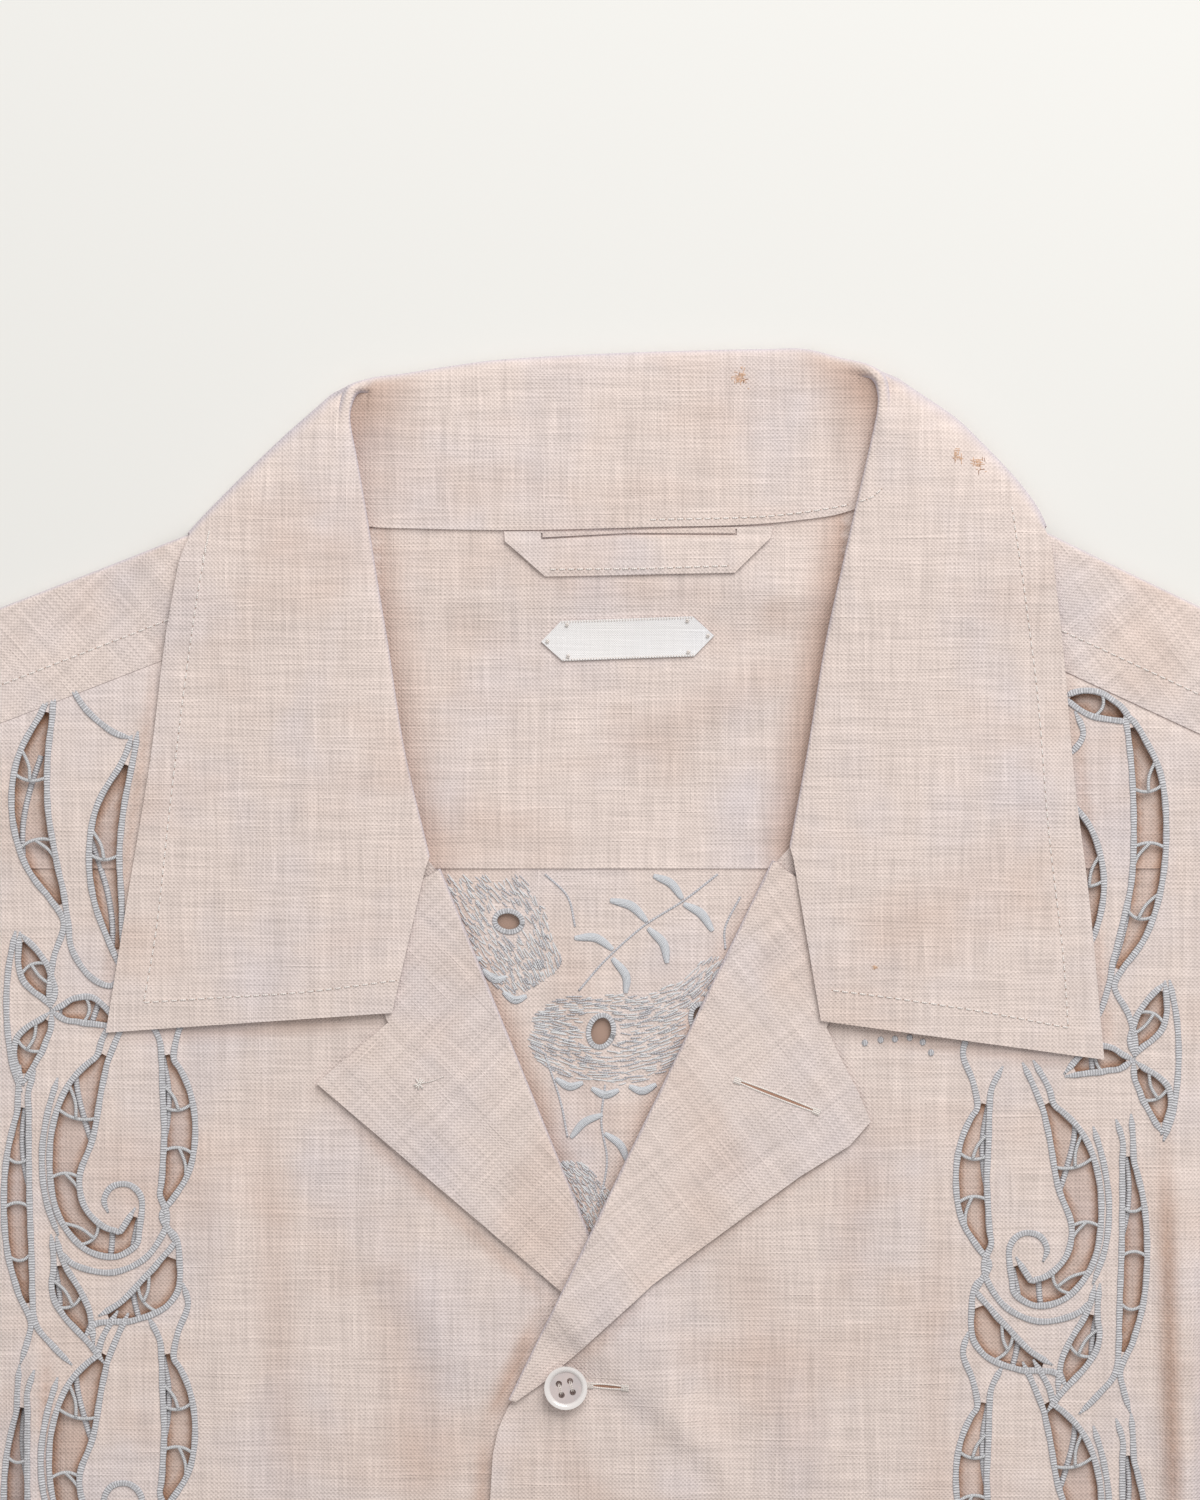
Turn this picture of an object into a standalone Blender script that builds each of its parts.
"""A short-sleeved camp-collar shirt with cutwork borders, lying flat with its front up.

Lengths are in millimetres and become metres when a mesh is made. X runs to the viewer's right, Y from the hem to the
collar and Z up from the surface that the shirt lies on. Left and right in names are the wearer's.
"""
import math
from dataclasses import dataclass

import bmesh
import bpy
from mathutils import Vector
from mathutils.geometry import delaunay_2d_cdt, interpolate_bezier

MM = 0.001
CLOTH = 1.0
COLLAR_CLOTH = 1.2
SEAM = 0.35
SLIVER = 0.002
CLOTH_ROUGHNESS = 0.85

HEM_Y = -367.5
CENTRE_X = -4.0
SIDE_SEAM_AT_HEM = 281.0
BACK_SEAM_Y = 229.5
YOKE_FRONT_DEPTH = 27.0
SHOULDER_FOLD_RADIUS = 1.15
LAPEL_FOLD_RADIUS = 1.05

BACK_LEVEL = 0.5
FRONT_LEVEL = 1.8
SHOULDER_RISE = 1.0
COLLAR_RISE = 1.7
OVERLAP_RISE = 1.5
CROSSING_RISE = 2.3
LEAF_RISE = 2.1
SLEEVE_RISE = 0.8

FALL_LEVEL = 0.6
STAND_LEVEL = 2.5
ROLL_RISE = 1.7
ROLL_DEPTH = 4.0

SLEEVE_RINGS = 10
SLEEVE_ACROSS = 9
SLEEVE_HEAD_SHIFT = 0.6
UNDERARM_SHIFT = 2.2

# The stand lies this far above the front, and the leaf's roll opens this much, more towards the shoulder.
STAND_LIFT = 0.2
LEAF_ROLL_OPEN = 2.0
LEAF_ROLL_GROWTH = 0.9
WRAP_ROLL_OPEN = 2.9
WRAP_ROLL_HALF = 1.4
# How far inside the neck edge the collar's seam runs.
NECK_SEAM_INSET = 0.9
BACK_SEAM_INSET = 0.6
ROLL_TURN_RISE = 1.5
SHOULDER_LEVEL = 320.0

REPEAT = 79.5
REPEATS = 6
GAP_BAR = 1.5

BUTTON_RADIUS = 6.35
BUTTON_THICK = 2.0
BUTTON_RIM = 0.45
BUTTON_RIM_RINGS = (4.1, 5.3)
BUTTON_HOLE = 0.9
BUTTON_HOLE_OFFSET = 1.55
BUTTON_PLACES = ((-6.4, 92.2), (-8.0, 4.0), (-9.0, -84.0), (-10.0, -172.0), (-10.0, -260.0))

# The eyelets of the back: centre, half sizes and tilt in degrees.
EYELETS = (
    (-21.7, 215.4, 3.2, 2.3, -8.0),
    (2.9, 186.2, 2.8, 3.8, -14.0),
    (29.9, 189.4, 2.6, 3.6, 12.0),
)
EYELET_SIDES = 10

LABEL_CENTRE = Vector((10.0, 290.6))
LABEL_LENGTH = 46.0
LABEL_HEIGHT = 10.6
LABEL_POINT = 5.5
LABEL_TILT = math.radians(2.0)

LOOP_TOP = ((-22.0, 317.6), (48.6, 318.6))
LOOP_BOTTOM = ((-11.9, 307.1), (38.4, 308.1))
LOOP_SLIT = ((-13.0, 314.4), (40.0, 315.2), (40.0, 316.4), (-13.0, 315.6))

# The back neck seam, from the wearer's right neck point to the left one.
NECK_BACK = ((-72.0, 330.0), (-66.5, 323.8), (-60.2, 320.9), (-22.5, 319.8), (15.9, 320.6), (47.7, 321.6),
             (71.3, 325.2), (77.5, 328.8), (84.0, 335.0))
# The top of the collar's roll between its two corners.
ROLL_BACK = ((-56.6, 359.8), (-48.4, 360.8), (-23.9, 364.3), (15.9, 366.4), (53.0, 367.2), (61.0, 366.7),
             (66.4, 364.9))
# The collar's outer edge, which lies under the yoke.
FALL_BACK = ((-100.0, 313.0), (-84.0, 310.0), (-50.0, 309.0), (3.0, 310.0), (60.0, 311.0), (96.0, 313.0),
             (112.0, 315.5))

# Soft folds of the fronts: x0, y0, x1, y1 of the crest, then its half width and height.
FRONT_FOLDS = (
    (-146.0, 104.0, -150.0, -80.0, 9.0, 4.5),
    (-205.0, 150.0, -190.0, -60.0, 12.0, 5.0),
    (-75.0, 40.0, -85.0, -180.0, 12.0, 4.0),
    (-235.0, -120.0, -228.0, -330.0, 12.0, 5.0),
    (-60.0, -205.0, -52.0, -350.0, 10.0, 3.5),
    (-172.0, -180.0, -180.0, -340.0, 11.0, 4.0),
    (156.0, 150.0, 160.0, -60.0, 9.0, 4.5),
    (205.0, 140.0, 214.0, -90.0, 12.0, 5.0),
    (70.0, 30.0, 62.0, -150.0, 12.0, 3.5),
    (92.0, -160.0, 100.0, -330.0, 11.0, 4.5),
    (222.0, -150.0, 217.0, -340.0, 12.0, 5.0),
    (46.0, -190.0, 53.0, -345.0, 10.0, 3.0),
)
SLEEVE_FOLDS = (
    (-300.0, 60.0, -372.0, 8.0, 9.0, 3.5),
    (-285.0, 120.0, -392.0, 52.0, 11.0, 4.5),
    (-290.0, 195.0, -415.0, 112.0, 12.0, 3.5),
    (292.0, 62.0, 366.0, 12.0, 9.0, 3.5),
    (277.0, 128.0, 378.0, 58.0, 11.0, 4.5),
    (280.0, 192.0, 402.0, 116.0, 12.0, 4.0),
)

# The gaps of one repeat: centre line as (u, v, half width), u towards the centre front and v down, and its bars.
REPEAT_GAPS = (
    (((1.0, 4.0, 0.7), (-4.5, 14.0, 4.0), (-7.5, 25.0, 4.9), (-9.5, 36.0, 3.3), (-7.5, 46.0, 3.0),
      (-1.0, 53.0, 3.2), (6.5, 53.5, 2.4), (9.0, 47.0, 0.8)), 3),
    (((17.5, 4.0, 0.8), (20.0, 14.0, 3.0), (21.0, 24.0, 3.5), (20.0, 34.0, 3.0), (17.0, 43.0, 0.8)), 1),
    (((-20.5, 18.0, 0.8), (-22.0, 31.0, 2.3), (-22.3, 44.0, 2.8), (-21.5, 57.0, 2.5), (-19.5, 70.0, 0.8)), 2),
    (((19.0, 58.0, 1.6), (15.5, 66.0, 4.2), (8.0, 71.5, 2.6), (2.0, 73.5, 0.8)), 0),
    (((-11.0, 60.0, 0.8), (-9.5, 66.5, 2.9), (-6.0, 73.0, 2.6), (-3.5, 78.0, 0.8)), 0),
)
# The gaps above the repeats, measured up from the top of the first one.
TOP_GAPS = (
    (((-14.0, -87.0, 0.8), (-18.0, -74.0, 3.4), (-18.7, -61.0, 4.2), (-16.0, -48.0, 3.6), (-10.5, -36.0, 0.8)), 2),
    (((7.0, -73.0, 0.8), (2.5, -61.0, 3.0), (1.0, -49.0, 3.4), (2.0, -37.0, 3.0), (4.5, -24.0, 0.8)), 1),
    (((-13.0, -11.0, 0.9), (-17.5, -18.0, 3.2), (-20.5, -26.0, 0.9)), 0),
    (((-11.0, -7.0, 0.9), (-4.0, -8.0, 3.0), (2.5, -5.0, 0.9)), 0),
    (((-14.0, -5.0, 0.9), (-19.0, 1.5, 3.2), (-20.5, 9.0, 0.9)), 0),
)


@dataclass(frozen=True)
class Side:
    """The sizes that differ between the two fronts."""

    name: str
    sign: int
    neck: tuple
    shoulder: tuple
    armhole: tuple
    cuff: tuple
    neck_front: tuple
    roll_line: tuple
    lapel: tuple
    front_edge: tuple
    border: tuple
    top_shift: float
    collar_roll: tuple
    collar_outer: tuple
    collar_front: tuple
    wrap_roll: tuple


RIGHT = Side(
    name="right", sign=1, neck=(-72.0, 330.0), shoulder=(-248.0, 262.0),
    armhole=((-248.0, 262.0), (-241.0, 220.0), (-239.0, 170.0), (-244.0, 115.0), (-256.0, 66.0), (-278.0, 30.0)),
    cuff=((-458.0, 150.0), (-364.0, -14.0)),
    neck_front=((-69.2, 302.0), (-65.0, 277.0), (-57.5, 254.0), (-48.5, 238.5)),
    roll_line=((-41.0, 229.2), (13.5, 95.4)),
    lapel=((-51.7, 190.3), (-72.6, 172.5)),
    front_edge=((12.5, 82.0), (12.0, HEM_Y)),
    border=(-130.0, 184.0), top_shift=0.0,
    collar_roll=((-42.9, 232.9), (-49.5, 261.0), (-54.0, 290.0), (-59.0, 320.0), (-62.2, 337.0), (-64.2, 347.5)),
    collar_outer=((-128.5, 186.0), (-121.9, 226.5), (-116.6, 258.3), (-112.6, 290.1), (-108.5, 311.5)),
    collar_front=((-52.5, 191.3), 0.36),
    wrap_roll=((-59.8, 358.6), (-62.6, 356.6), (-63.8, 353.0)),
)
LEFT = Side(
    name="left", sign=-1, neck=(84.0, 335.0), shoulder=(240.0, 260.0),
    armhole=((240.0, 260.0), (233.0, 220.0), (231.0, 170.0), (236.0, 115.0), (248.0, 66.0), (270.0, 30.0)),
    cuff=((458.0, 150.0), (364.0, -14.0)),
    neck_front=((80.5, 303.0), (75.5, 279.0), (68.0, 257.0), (58.8, 241.5)),
    roll_line=((-13.4, 102.6), (49.6, 231.3)),
    lapel=((60.4, 188.2), (63.8, 180.8), (69.4, 170.2), (74.5, 162.4), (68.9, 156.0), (55.7, 147.8), (16.4, 120.3),
           (-1.5, 106.0)),
    front_edge=((-17.7, 92.0), (-21.8, 84.0), (-25.5, 72.0), (-26.5, 62.0), (-26.5, HEM_Y)),
    border=(122.3, 171.0), top_shift=9.0,
    collar_roll=((53.3, 235.8), (58.0, 261.0), (63.0, 291.0), (69.5, 320.0), (74.0, 338.0), (76.6, 349.5)),
    collar_outer=((136.5, 178.8), (132.5, 221.2), (128.5, 253.0), (125.6, 286.1), (122.0, 315.0)),
    collar_front=((61.2, 189.2), 0.36),
    wrap_roll=((72.2, 361.4), (75.0, 358.8), (76.2, 355.0)),
)
SIDES = (RIGHT, LEFT)
WRAP_ROLL_LEVELS = (7.0, 6.5, 5.0)
WRAP_TURNS = (112.0, 90.0, 45.0)
WRAP_FALL_ANGLES = (42.0, 97.0, 150.0)
WRAP_OUTER = {"right": (-107.8, 319.4), "left": (120.2, 322.0)}


def ease(t):
    """Zero below 0, one above 1 and smooth between."""
    t = min(1.0, max(0.0, t))
    return t * t * (3.0 - 2.0 * t)


def curve(points, count):
    """Points at even steps of a smooth curve through the given ones, of any dimension."""
    rows = [Vector(p) for p in points]
    rows = [2 * rows[0] - rows[1]] + rows + [2 * rows[-1] - rows[-2]]
    fine = []
    for a, b, c, d in zip(rows, rows[1:], rows[2:], rows[3:]):
        for k in range(12):
            t = k / 12
            fine.append(0.5 * (2 * b + (c - a) * t + (2 * a - 5 * b + 4 * c - d) * t * t
                               + (3 * b - a - 3 * c + d) * t ** 3))
    fine.append(rows[-2])
    return along(fine, count)


def along(points, count):
    """Points at even steps of a polyline."""
    rows = [Vector(p) for p in points]
    steps = [(b - a).length for a, b in zip(rows, rows[1:])]
    total, made, travelled, k = sum(steps), [], 0.0, 0
    for n in range(count):
        wanted = total * n / (count - 1)
        while k < len(steps) - 1 and travelled + steps[k] < wanted:
            travelled += steps[k]
            k += 1
        made.append(rows[k].lerp(rows[k + 1], min(1.0, (wanted - travelled) / steps[k])))
    return made


def curve_at(points, t):
    """The point at a share of a smooth curve's length."""
    rows = curve(points, 49)
    k = min(47, int(t * 48))
    return rows[k].lerp(rows[k + 1], t * 48 - k)


def divided(loop, step):
    """A closed outline with points added until no edge is longer than the step."""
    made = []
    for a, b in zip(loop, loop[1:] + loop[:1]):
        count = max(1, math.ceil((b - a).length / step))
        made += [a.lerp(b, k / count) for k in range(count)]
    return made


def inside(loop, p):
    """Whether a point is inside a closed outline."""
    found = False
    for a, b in zip(loop, loop[1:] + loop[:1]):
        if (a.y > p.y) != (b.y > p.y) and p.x < a.x + (p.y - a.y) / (b.y - a.y) * (b.x - a.x):
            found = not found
    return found


def line_distance(p, a, b):
    """The distance from a point to a straight piece, and the share of the piece where it is nearest."""
    run = b - a
    t = min(1.0, max(0.0, (p - a).dot(run) / run.length_squared))
    return (p - a - run * t).length, t


def loop_distance(loop, p):
    """The distance from a point to a closed outline."""
    return min(line_distance(p, a, b)[0] for a, b in zip(loop, loop[1:] + loop[:1]))


class Fold:
    """A straight fold. The cloth on the left of the line from start to end turns over and lies on top."""

    def __init__(self, start, end, radius):
        self.start = Vector(start)
        self.end = Vector(end)
        self.radius = radius
        self.run = (self.end - self.start).normalized()
        self.normal = Vector((-self.run.y, self.run.x))

    def beyond(self, p):
        """How far a point of the flat cloth lies past the fold."""
        return (p - self.start).dot(self.normal)

    def unfold(self, p):
        """The place on the flat cloth of a point seen on the layer on top."""
        return p + self.normal * (math.pi * self.radius - 2 * self.beyond(p))

    def place(self, p, low, high):
        """The place in space of a point of the flat cloth, for the heights of the two layers."""
        q = self.beyond(p)
        if q <= 0:
            return Vector((p.x, p.y, low(p)))
        foot = p - self.normal * q
        angle = q / self.radius
        if angle < math.pi:
            at = foot + self.normal * self.radius * math.sin(angle)
            return Vector((at.x, at.y, low(foot) + self.radius * (1 - math.cos(angle))))
        at = foot - self.normal * (q - math.pi * self.radius)
        return Vector((at.x, at.y, high(at)))

    def guides(self, step, margin):
        """Lines along the fold that give its round its sections."""
        length = (self.end - self.start).length
        for k in range(4):
            shift = self.normal * math.pi * self.radius * k / 3
            reach = 0.0 if k == 0 else margin
            a = self.start + shift - self.run * reach
            b = self.end + shift + self.run * reach
            yield along((a, b), max(2, round(length / step)))


def fold_height(p, folds):
    """The height that the soft folds add at a point."""
    total = 0.0
    for x0, y0, x1, y1, half_width, height in folds:
        gap, t = line_distance(p, Vector((x0, y0)), Vector((x1, y1)))
        if gap < half_width:
            total += height * (0.5 + 0.5 * math.cos(math.pi * gap / half_width)) * math.sin(math.pi * t) ** 0.6
    return total


def collar_lift(p):
    """The share of the rise that the collar under the yoke gives."""
    return ease((p.y - 288.0) / 18.0) * ease((135.0 - abs(p.x - 6.0)) / 20.0)


def back_height(p):
    """The middle of the back layer."""
    return BACK_LEVEL + COLLAR_RISE * collar_lift(p)


def front_height(p):
    """The middle of the front layer, without the overlap at the centre."""
    rise = SHOULDER_RISE * ease((p.y - 215.0) / 45.0) + COLLAR_RISE * collar_lift(p)
    return FRONT_LEVEL + rise + fold_height(p, FRONT_FOLDS)


def top_front_height(p):
    """The middle of the wearer's left front, which passes over the right one and its lapel."""
    roll_start, roll_end = (Vector(q) for q in RIGHT.roll_line)
    run = (roll_end - roll_start).normalized()
    past_roll = (p - roll_start).dot(Vector((-run.y, run.x)))
    edge_start, edge_end = Vector(RIGHT.lapel[-1]), roll_end
    run = (edge_end - edge_start).normalized()
    below_edge = -(p - edge_start).dot(Vector((-run.y, run.x)))
    crossing = ease((16.0 - past_roll) / 12.0) * ease((10.5 - below_edge) / 8.5)
    return front_height(p) + OVERLAP_RISE * ease((31.0 - p.x) / 14.0) + CROSSING_RISE * crossing


SHOULDER_FOLDS = {
    "right": Fold(RIGHT.shoulder, RIGHT.neck, SHOULDER_FOLD_RADIUS),
    "left": Fold(LEFT.neck, LEFT.shoulder, SHOULDER_FOLD_RADIUS),
}


def finish_material(name, color):
    """A Principled material for one sub-part."""
    material = bpy.data.materials.new(name)
    material.use_nodes = True
    shader = material.node_tree.nodes["Principled BSDF"]
    shader.inputs["Base Color"].default_value = (*color, 1.0)
    shader.inputs["Roughness"].default_value = CLOTH_ROUGHNESS
    shader.inputs["Metallic"].default_value = 0.0
    return material


def wall(name, middles, faces, thickness, color):
    """One closed wall of even thickness about a middle surface."""
    normals = [Vector((0, 0, 0)) for _ in middles]
    for face in faces:
        a, b, c = (middles[k] for k in face[:3])
        across = (c - a).cross(middles[face[3]] - b) if len(face) == 4 else (b - a).cross(c - a)
        for k in face:
            normals[k] += across
    normals = [n.normalized() for n in normals]
    mesh = bmesh.new()
    source = mesh.verts.layers.int.new("source")
    verts = []
    for k, (middle, normal) in enumerate(zip(middles, normals)):
        vert = mesh.verts.new((middle - normal * thickness / 2) * MM)
        vert[source] = k
        verts.append(vert)
    for face in faces:
        mesh.faces.new([verts[k] for k in face])
    made = bmesh.ops.extrude_face_region(mesh, geom=mesh.faces[:], use_keep_orig=True)
    for item in made["geom"]:
        if isinstance(item, bmesh.types.BMVert):
            item.co += normals[item[source]] * thickness * MM
    loose = [v for v in mesh.verts if not v.link_faces]
    bmesh.ops.delete(mesh, geom=loose, context="VERTS")
    bmesh.ops.recalc_face_normals(mesh, faces=mesh.faces)
    data = bpy.data.meshes.new(name)
    mesh.to_mesh(data)
    mesh.free()
    data.shade_smooth()
    data.set_sharp_from_angle(angle=math.radians(40))
    data.materials.append(finish_material(name + "_finish", color))
    item = bpy.data.objects.new(name, data)
    bpy.context.scene.collection.objects.link(item)
    return item


def grid_points(loops, spacing, clear):
    """Points of a square grid inside the first outline, clear of it and of the others."""
    outline, gaps = loops[0], loops[1:]
    xs, ys = [p.x for p in outline], [p.y for p in outline]
    made = []
    boxes = [(min(p.x for p in g) - clear, max(p.x for p in g) + clear,
              min(p.y for p in g) - clear, max(p.y for p in g) + clear) for g in gaps]
    for row in range(int((max(ys) - min(ys)) / spacing) + 1):
        for column in range(int((max(xs) - min(xs)) / spacing) + 1):
            p = Vector((min(xs) + spacing * (column + 0.5 * (row % 2) + 0.3), min(ys) + spacing * (row + 0.5)))
            made.append(p)
    return clear_points(made, outline, gaps, boxes, clear)


def clear_points(points, outline, gaps, boxes, clear):
    """The points that are inside the outline and clear of all edges."""
    kept = []
    for p in points:
        if not inside(outline, p) or loop_distance(outline, p) < clear:
            continue
        near = [g for g, (x0, x1, y0, y1) in zip(gaps, boxes) if x0 < p.x < x1 and y0 < p.y < y1]
        if any(inside(g, p) or loop_distance(g, p) < clear for g in near):
            continue
        if all((p - q).length > clear for q in kept):
            kept.append(p)
    return kept


def crest_points(folds, step):
    """Points on the crest and both feet of each soft fold."""
    made = []
    for x0, y0, x1, y1, half_width, _height in folds:
        a, b = Vector((x0, y0)), Vector((x1, y1))
        run = (b - a).normalized()
        across = Vector((-run.y, run.x)) * half_width
        for side in (0.0, -1.0, 1.0):
            made += [p + across * side for p in along((a, b), max(3, round((b - a).length / step)))]
    return made


def panel(name, outline, place, thickness, color, gaps=(), guides=(), extra=(), spacing=26.0, edge=24.0, clear=5.5):
    """A wall over a flat outline with its gaps, set in space by a function."""
    loops = [divided([Vector(p) for p in outline], edge)] + [list(g) for g in gaps]
    verts, edges = [], []
    for loop in loops:
        first = len(verts)
        verts += loop
        edges += [(first + k, first + (k + 1) % len(loop)) for k in range(len(loop))]
    for line in guides:
        first = len(verts)
        verts += line
        edges += [(first + k, first + k + 1) for k in range(len(line) - 1)]
    boxes = [(min(p.x for p in g) - clear, max(p.x for p in g) + clear,
              min(p.y for p in g) - clear, max(p.y for p in g) + clear) for g in loops[1:]]
    free = clear_points(list(extra), loops[0], loops[1:], boxes, clear)
    free += [p for p in grid_points(loops, spacing, clear) if all((p - q).length > spacing * 0.5 for q in free)]
    for line in guides:
        free = [p for p in free if all((p - q).length > clear for q in line)]
    verts += free
    flat, _edges, faces = delaunay_2d_cdt(verts, edges, [], 1, 1e-4, False)[:3]
    kept = []
    for face in faces:
        a, b, c = (flat[k] for k in face)
        middle = (a + b + c) / 3
        sliver = abs((b - a).cross(c - a)) < SLIVER
        if not sliver and inside(loops[0], middle) and not any(inside(g, middle) for g in loops[1:]):
            kept.append(tuple(face))
    used = sorted({k for face in kept for k in face})
    number = {k: n for n, k in enumerate(used)}
    middles = [place(flat[k]) for k in used]
    return wall(name, middles, [tuple(number[k] for k in face) for face in kept], thickness, color)


def ribbon_gaps(rows, bars):
    """The closed gaps of one ribbon, parted by its bars. A row is x, y and half width."""
    length = sum((Vector(b[:2]) - Vector(a[:2])).length for a, b in zip(rows, rows[1:]))
    pieces = bars + 1
    made = []
    for piece in range(pieces):
        start = piece / pieces + (GAP_BAR / 2 / length if piece else 0.0)
        end = (piece + 1) / pieces - (GAP_BAR / 2 / length if piece < bars else 0.0)
        stations = 4 if pieces < 3 else 3
        samples = [curve_at(rows, start + (end - start) * k / (stations - 1)) for k in range(stations)]
        left, right = [], []
        for k, here in enumerate(samples):
            before, after = samples[max(0, k - 1)], samples[min(stations - 1, k + 1)]
            run = (after - before).xy.normalized()
            across = Vector((-run.y, run.x)) * here.z
            left.append(here.xy + across)
            right.append(here.xy - across)
        made.append(left + right[::-1])
    return made


def border_gaps(side):
    """All the gaps of one front's border."""
    x, y = side.border
    made = []
    for rows, bars in TOP_GAPS:
        made += ribbon_gaps([(x + side.sign * (u - side.top_shift), y - v, w) for u, v, w in rows], bars)
    for repeat in range(REPEATS):
        top = y - repeat * REPEAT
        for rows, bars in REPEAT_GAPS:
            made += ribbon_gaps([(x + side.sign * u, top - v, w) for u, v, w in rows], bars)
    return made


def yoke_seam(side, x_share, shift):
    """A point of the front yoke seam, as a share from the neck to the armhole, moved down by the shift."""
    fold = SHOULDER_FOLDS[side.name]
    neck, armhole = Vector(side.neck_front[0]), armhole_at_depth(side, YOKE_FRONT_DEPTH)
    return neck.lerp(armhole, x_share) - fold.normal * shift


def armhole_at_depth(side, depth):
    """The point of the armhole at a depth below the shoulder fold."""
    fold = SHOULDER_FOLDS[side.name]
    for p in curve(side.armhole, 200):
        if fold.beyond(p) <= -depth:
            return p
    return Vector(side.armhole[-1])


def front(side, height):
    """One front with its lapel turned out along the roll line."""
    fold = Fold(*side.roll_line, LAPEL_FOLD_RADIUS)
    neck_end = Vector(side.roll_line[0] if side.sign > 0 else side.roll_line[1])
    break_point = Vector(side.roll_line[1] if side.sign > 0 else side.roll_line[0])
    armhole = [p for p in curve(side.armhole, 15) if SHOULDER_FOLDS[side.name].beyond(p) < -YOKE_FRONT_DEPTH - 6]
    outline = [yoke_seam(side, 0.0, SEAM / 2)]
    outline += [Vector(p) for p in side.neck_front[1:]] + [neck_end]
    outline += [fold.unfold(Vector(p)) for p in side.lapel] + [break_point]
    outline += [Vector(p) for p in side.front_edge]
    outline += [Vector((CENTRE_X - side.sign * SIDE_SEAM_AT_HEM, HEM_Y))]
    outline += armhole[::-1] + [yoke_seam(side, 1.0, SEAM / 2)]

    def place(p):
        if fold.beyond(p) > 0 and not in_lapel(p):
            return Vector((p.x, p.y, height(p)))
        return fold.place(p, height, lambda at: height(at) + 2 * fold.radius)

    def in_lapel(p):
        reach = (neck_end - break_point).length + 0.3
        return -0.5 < (p - break_point).dot(fold.run) * -side.sign < reach

    extra = [p for p in crest_points(FRONT_FOLDS, 30.0) if side.sign * (CENTRE_X - p.x) > 0]
    if side is LEFT:
        extra += [Vector((x, y)) for x in (3.0, 17.0, 31.0) for y in range(-340, 80, 34)]
        extra += [Vector((-8.0 + 8.0 * column, 86.0 + 8.0 * row)) for column in range(6) for row in range(8)]
    return panel("front_" + side.name, outline, place, CLOTH, (0.76, 0.64, 0.57), border_gaps(side),
                 list(fold.guides(13.0, 5.0)), extra)


def eyelets():
    """The outlines of the back's eyelets."""
    made = []
    for x, y, half_x, half_y, tilt in EYELETS:
        cosine, sine = math.cos(math.radians(tilt)), math.sin(math.radians(tilt))
        loop = []
        for p in ring_of(Vector((0.0, 0.0)), 1.0, EYELET_SIDES):
            across, up = p.x * half_x, p.y * half_y
            loop.append(Vector((x + across * cosine - up * sine, y + across * sine + up * cosine)))
        made.append(loop)
    return made


def back():
    """The back below the yoke seam."""
    left = [p for p in curve(LEFT.armhole, 15) if p.y < BACK_SEAM_Y - 8]
    right = [p for p in curve(RIGHT.armhole, 15) if p.y < BACK_SEAM_Y - 8]
    outline = [Vector((armhole_x(RIGHT, BACK_SEAM_Y), BACK_SEAM_Y))] + right
    outline += [Vector((CENTRE_X + side * SIDE_SEAM_AT_HEM, HEM_Y)) for side in (-1, 1)]
    outline += left[::-1] + [Vector((armhole_x(LEFT, BACK_SEAM_Y), BACK_SEAM_Y))]
    return panel("back", outline, lambda p: Vector((p.x, p.y, back_height(p))), CLOTH, (0.74, 0.62, 0.56), eyelets(),
                 spacing=60.0, edge=60.0)


def armhole_x(side, y):
    """Where the armhole crosses a height."""
    return min(curve(side.armhole, 200), key=lambda p: abs(p.y - y)).x


def yoke():
    """The yoke, folded over both shoulders."""
    seam_y = BACK_SEAM_Y + SEAM
    outline = [Vector((armhole_x(RIGHT, seam_y), seam_y)), Vector((armhole_x(LEFT, seam_y), seam_y))]
    for side, fold in ((LEFT, SHOULDER_FOLDS["left"]), (RIGHT, SHOULDER_FOLDS["right"])):
        ends = [Vector(side.shoulder), fold.unfold(yoke_seam(side, 1.0, -SEAM / 2)),
                fold.unfold(yoke_seam(side, 0.0, -SEAM / 2)), Vector(side.neck)]
        if side is LEFT:
            outline += ends + [Vector(p) for p in NECK_BACK[-2:0:-1]]
        else:
            outline += ends[::-1]

    def place(p):
        fold = SHOULDER_FOLDS["right" if p.x < CENTRE_X else "left"]
        return fold.place(p, back_height, front_height)

    guides = [line for fold in SHOULDER_FOLDS.values() for line in fold.guides(20.0, 0.0)]
    extra = [Vector((x, y)) for x in range(-130, 146, 22) for y in (287, 297, 307) if abs(x) > 8 or y < 310]
    return panel("yoke", outline, place, CLOTH, (0.75, 0.63, 0.57), guides=guides, extra=extra, clear=4.5)


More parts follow.
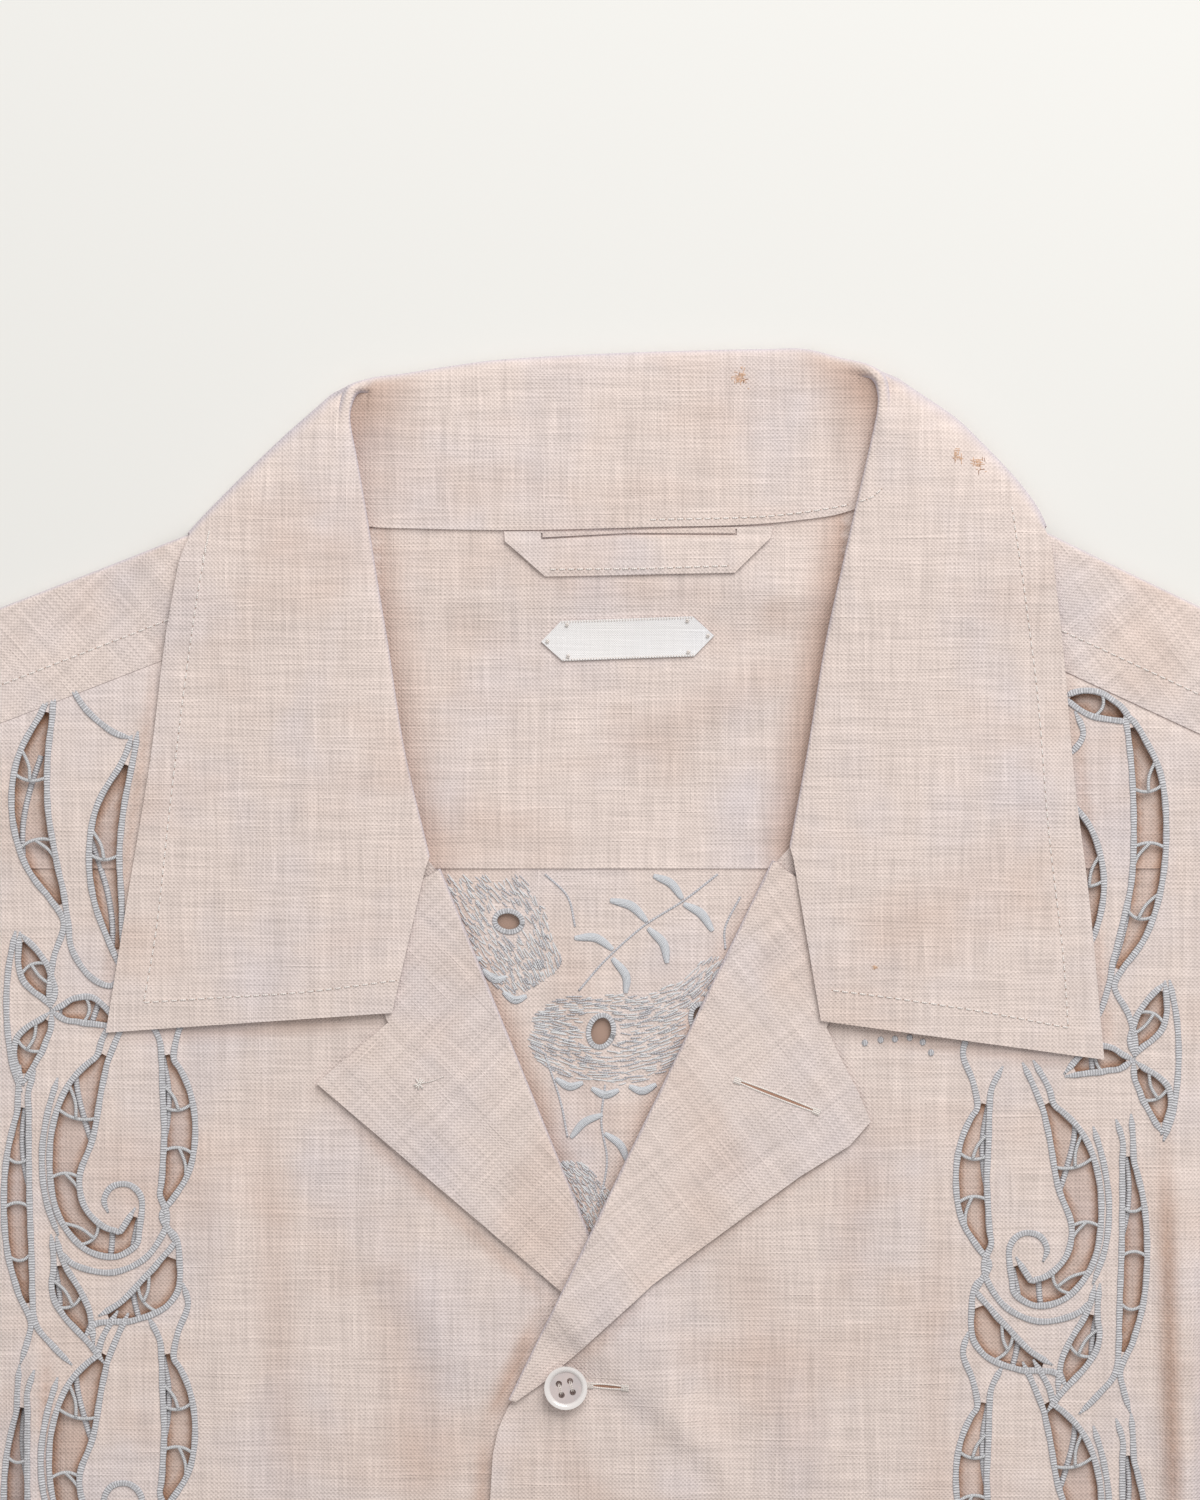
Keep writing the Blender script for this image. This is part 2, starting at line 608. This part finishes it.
def sleeve(side):
    """A short sleeve as a flattened tube in rings from the armhole to the cuff."""
    rings, across = SLEEVE_RINGS, SLEEVE_ACROSS
    outward = -side.sign
    armhole = curve(side.armhole, across)
    cuff = along(side.cuff, across)
    middles, count = [], 0
    for ring in range(rings):
        u = ring / (rings - 1)
        line = []
        for k, (a, b) in enumerate(zip(armhole, cuff)):
            share = k / (across - 1)
            shift = SEAM + UNDERARM_SHIFT * ease((share - 0.8) / 0.2)
            shift += SLEEVE_HEAD_SHIFT * ease((0.15 - share) / 0.15)
            line.append((a + Vector((outward * shift, 0.0))).lerp(b, u))
        top_z = [FRONT_LEVEL + SHOULDER_RISE * ease((p.y - 215.0) / 45.0) * (1 - u) + SLEEVE_RISE * ease(u * 3)
                 + fold_height(p, SLEEVE_FOLDS) for p in line]
        section = [Vector((p.x, p.y, BACK_LEVEL)) for p in line]
        section += fold_round(line[-1], fold_normal(armhole, cuff, -1), BACK_LEVEL, top_z[-1])
        section += [Vector((p.x, p.y, z)) for p, z in zip(line[::-1], top_z[::-1])]
        section += fold_round(line[0], fold_normal(armhole, cuff, 0), top_z[0], BACK_LEVEL)
        count = len(section)
        middles += section
    faces = []
    for ring in range(rings - 1):
        for k in range(count):
            n = (k + 1) % count
            a, b = ring * count + k, ring * count + n
            faces.append((a, b, b + count, a + count))
    return wall("sleeve_" + side.name, middles, faces, CLOTH, (0.75, 0.63, 0.57))


def fold_normal(armhole, cuff, end):
    """The direction away from a sleeve at its upper or lower fold."""
    run = (cuff[end] - armhole[end]).normalized()
    out = Vector((-run.y, run.x))
    inward = armhole[1] - armhole[0] if end == 0 else armhole[-2] - armhole[-1]
    return out if out.dot(inward) < 0 else -out


def fold_round(at, out, z_from, z_to):
    """The points of the half round that joins two layers."""
    radius = abs(z_to - z_from) / 2
    made = []
    for k in (1, 2):
        angle = math.pi * k / 3
        p = at + out * radius * math.sin(angle)
        made.append(Vector((p.x, p.y, (z_from + z_to) / 2 + (z_from - z_to) / 2 * math.cos(angle))))
    return made


def leaf_point(side, a, t):
    """A point of a collar leaf: a runs from its front end to the shoulder and t from the roll to the outer edge."""
    roll, outer = curve_at(side.collar_roll, a), curve_at(side.collar_outer, a)
    notch, share = Vector(side.collar_front[0]), side.collar_front[1]
    roll_0, outer_0 = Vector(side.collar_roll[0]), Vector(side.collar_outer[0])
    roll_1, outer_1 = Vector(side.collar_roll[-1]), Vector(side.collar_outer[-1])
    front_end = roll_0.lerp(notch, t / share) if t < share else notch.lerp(outer_0, (t - share) / (1 - share))
    back_end = roll_1.lerp(outer_1, t)
    corners = roll_0.lerp(roll_1, a) * (1 - t) + outer_0.lerp(outer_1, a) * t
    return front_end * (1 - a) + back_end * a + roll.lerp(outer, t) - corners


def leaf_height(p, t, roll_top):
    """The middle of a leaf, which settles from the roll to the front below it."""
    settled = front_height(p) + LEAF_RISE
    return settled + (max(roll_top, settled) - settled) * (1 - ease(t / 0.4))


def heading(sign, degrees):
    """A direction in the plane, mirrored for the wearer's left."""
    return Vector((sign * math.cos(math.radians(degrees)), math.sin(math.radians(degrees))))


def station(seam, apex, half, inward, turn, fall, share=1.0):
    """One section of the collar, as its stand up to the roll and its fall from there.

    The roll is a hairpin about its apex. Behind the neck it opens towards the neck with the stand on top, and along a
    leaf it opens away from the neck with the stand underneath. The turn, in degrees, takes one into the other.
    """
    angle = math.radians(turn)
    up = Vector((0, 0, 1))
    bulge = up * math.sin(angle) - inward.to_3d() * math.cos(angle)
    part = up * math.cos(angle) + inward.to_3d() * math.sin(angle)
    to_seam = (seam.xy - apex.xy).normalized().to_3d().lerp(-bulge, share).normalized()
    to_fall = (fall[0].xy - apex.xy).normalized().to_3d().lerp(-bulge, share).normalized()
    depth = min(ROLL_DEPTH - 1.4 * math.sin(angle), 0.55 * (seam.xy - apex.xy).length)
    stand_end = apex + to_seam * depth + part * half
    fall_end = apex + to_fall * depth - part * half
    reach = 4 / 3 * depth
    bend = interpolate_bezier(stand_end, stand_end - to_seam * reach, fall_end - to_fall * reach, fall_end, 9)
    stand = [seam, seam.lerp(stand_end, 0.35), seam.lerp(stand_end, 0.7)] + list(bend[:4])
    return stand, [bend[4], bend[5], bend[6], bend[8]] + list(fall)


FALL_SHARES = (0.2, 0.36, 0.52, 0.68, 0.84, 1.0)


def leaf_stations(side):
    """The stations of one leaf, from its front end to the shoulder fold."""
    seam_line = [Vector(p) for p in (side.neck, *side.neck_front)]
    made = []
    for a in (0.0, 0.12, 0.3, 0.48, 0.66, 0.82, 1.0):
        at = seam_line_at(side, seam_line, a)
        seam = Vector((at.x, at.y, front_height(at)))
        roll = curve_at(side.collar_roll, a)
        stand_z = seam.z + STAND_LIFT
        top = stand_z + LEAF_ROLL_OPEN + LEAF_ROLL_GROWTH * a
        fall = []
        for t in FALL_SHARES:
            p = leaf_point(side, a, t)
            fall.append(Vector((p.x, p.y, leaf_height(p, t, top))))
        turn = 180 - 40 * ease((a - 0.6) / 0.4)
        apex = Vector((roll.x, roll.y, (stand_z + top) / 2 + ROLL_TURN_RISE * math.sin(math.radians(turn))))
        made.append(station(seam, apex, (top - stand_z) / 2, heading(side.sign, 12 - 20 * a), turn, fall,
                            ease(a / 0.3)))
    return made


def seam_line_at(side, seam_line, a):
    """A point of the collar's seam with the front, just inside the neck edge."""
    level = curve_at(side.collar_roll, a).y
    level = min(level, SHOULDER_LEVEL + (level - SHOULDER_LEVEL) / 4)
    rows = curve(seam_line[::-1], 60)
    p = min(rows, key=lambda q: abs(q.y - level)) if a > 0 else rows[0]
    return p + Vector((side.sign, a)) * NECK_SEAM_INSET


def wrap_stations(side):
    """The stations where the fall goes round the shoulder, from the top layer down to the one underneath."""
    outer = Vector(WRAP_OUTER[side.name])
    made = []
    for k, roll in enumerate(side.wrap_roll[::-1]):
        angle = math.radians(WRAP_FALL_ANGLES[k])
        start = Vector(roll)
        run = (outer - start).normalized()
        out = Vector((run.y, -run.x)) * side.sign
        out = out if out.y > 0 else -out
        seam_z = FRONT_LEVEL + SHOULDER_RISE + COLLAR_RISE
        seam_z = seam_z + (STAND_LEVEL - seam_z) * (1 - math.cos(angle)) / 2
        neck = Vector(side.neck) + Vector((side.sign * (1.6 + 0.7 * k), 0.4 - 0.9 * abs(k - 1)))
        fall = []
        for t in FALL_SHARES:
            p = start.lerp(outer, t)
            high = leaf_height(p, t, seam_z + WRAP_ROLL_OPEN)
            radius = (high - FALL_LEVEL) / 2
            p = p + out * radius * math.sin(angle)
            fall.append(Vector((p.x, p.y, FALL_LEVEL + radius * (1 + math.cos(angle)))))
        apex = Vector((start.x, start.y, WRAP_ROLL_LEVELS[k]))
        inward = heading(side.sign, -22 * (k + 1))
        seam = neck.to_3d() + Vector((0, 0, seam_z))
        made.append(station(seam, apex, WRAP_ROLL_HALF, inward, WRAP_TURNS[k], fall))
    return made


def back_stations():
    """The stations behind the neck, from the wearer's right to the left."""
    seam_points = [Vector(p) + Vector((0.0, BACK_SEAM_INSET)) for p in NECK_BACK[1:-1]]
    made = []
    for b in (0.0, 0.1, 0.24, 0.4, 0.6, 0.76, 0.9, 1.0):
        at = curve_at(seam_points, b)
        roll = curve_at(ROLL_BACK, b)
        outer = curve_at(FALL_BACK, b)
        fall = [roll.lerp(outer, t).to_3d() + Vector((0, 0, FALL_LEVEL)) for t in FALL_SHARES]
        half = (STAND_LEVEL + ROLL_RISE - FALL_LEVEL) / 2
        apex = Vector((roll.x, roll.y, FALL_LEVEL + half))
        made.append(station(at.to_3d() + Vector((0, 0, STAND_LEVEL)), apex, half, Vector((0, -1)), 0, fall))
    return made


def band(name, rows, color):
    """A wall through the rows of one half of the collar."""
    count = len(rows[0])
    faces = []
    for row in range(len(rows) - 1):
        for k in range(count - 1):
            a = row * count + k
            faces.append((a, a + 1, a + 1 + count, a + count))
    return wall(name, [p for row in rows for p in row], faces, COLLAR_CLOTH, color)


def collar():
    """The collar in two bands that meet along the roll: the fall with its leaves, and the stand behind the neck."""
    right_wrap, behind, left_wrap = wrap_stations(RIGHT), back_stations(), wrap_stations(LEFT)[::-1]
    stations = leaf_stations(RIGHT) + right_wrap + behind + left_wrap + leaf_stations(LEFT)[::-1]
    band("collar", [fall for _stand, fall in stations], (0.77, 0.66, 0.59))
    band("collar_stand", [stand for stand, _fall in behind], (0.76, 0.65, 0.58))


def ring_of(centre, radius, count):
    """A circle's points."""
    return [centre + Vector((math.cos(2 * math.pi * k / count), math.sin(2 * math.pi * k / count))) * radius
            for k in range(count)]


def button(number, place_xy):
    """A four-hole button with a raised rim, resting on the front."""
    centre = Vector(place_xy)
    rest = max(top_front_height(p) for p in ring_of(centre, BUTTON_RADIUS + 1.5, 24) + [centre])
    level = rest + CLOTH / 2 + SEAM + BUTTON_THICK / 2
    holes = [ring_of(centre + Vector((sx, sy)) * BUTTON_HOLE_OFFSET, BUTTON_HOLE, 6)
             for sx in (-1, 1) for sy in (-1, 1)]
    rings = [p for radius in BUTTON_RIM_RINGS for p in ring_of(centre, radius, 20)]

    def place(p):
        rim = ease(((p - centre).length - BUTTON_RIM_RINGS[0]) / (BUTTON_RIM_RINGS[1] - BUTTON_RIM_RINGS[0]))
        return Vector((p.x, p.y, level + BUTTON_RIM * rim))

    return panel(f"button_{number}", ring_of(centre, BUTTON_RADIUS, 20), place, BUTTON_THICK, (0.82, 0.74, 0.72),
                 holes, extra=rings, spacing=30.0, edge=10.0, clear=0.6)


def on_yoke(p):
    """The middle of a thin piece that lies on the inside of the yoke."""
    return Vector((p.x, p.y, back_height(p) + CLOTH + SEAM))


def label():
    """The bare neck label with pointed ends."""
    half, low, point = LABEL_LENGTH / 2, LABEL_HEIGHT / 2, LABEL_POINT
    shape = ((-half, 0), (-half + point, -low), (half - point, -low), (half, 0), (half - point, low),
             (-half + point, low))
    cosine, sine = math.cos(LABEL_TILT), math.sin(LABEL_TILT)
    outline = [LABEL_CENTRE + Vector((x * cosine - y * sine, x * sine + y * cosine)) for x, y in shape]
    return panel("label", outline, on_yoke, CLOTH, (0.86, 0.84, 0.82), spacing=60.0, edge=16.0)


def hanger_loop():
    """The hanger loop: a flat tab with a slit below its upper edge."""
    outline = [LOOP_TOP[0], LOOP_BOTTOM[0], LOOP_BOTTOM[1], LOOP_TOP[1]]
    slit = [Vector(p) for p in LOOP_SLIT]
    return panel("hanger_loop", outline, on_yoke, CLOTH, (0.72, 0.6, 0.53), [slit], spacing=60.0, edge=14.0)


def build():
    """Clear the scene and make every sub-part."""
    for item in list(bpy.data.objects):
        bpy.data.objects.remove(item, do_unlink=True)
    back()
    yoke()
    front(RIGHT, front_height)
    front(LEFT, top_front_height)
    collar()
    for side in SIDES:
        sleeve(side)
    hanger_loop()
    label()
    for number, place_xy in enumerate(BUTTON_PLACES, 1):
        button(number, place_xy)


build()
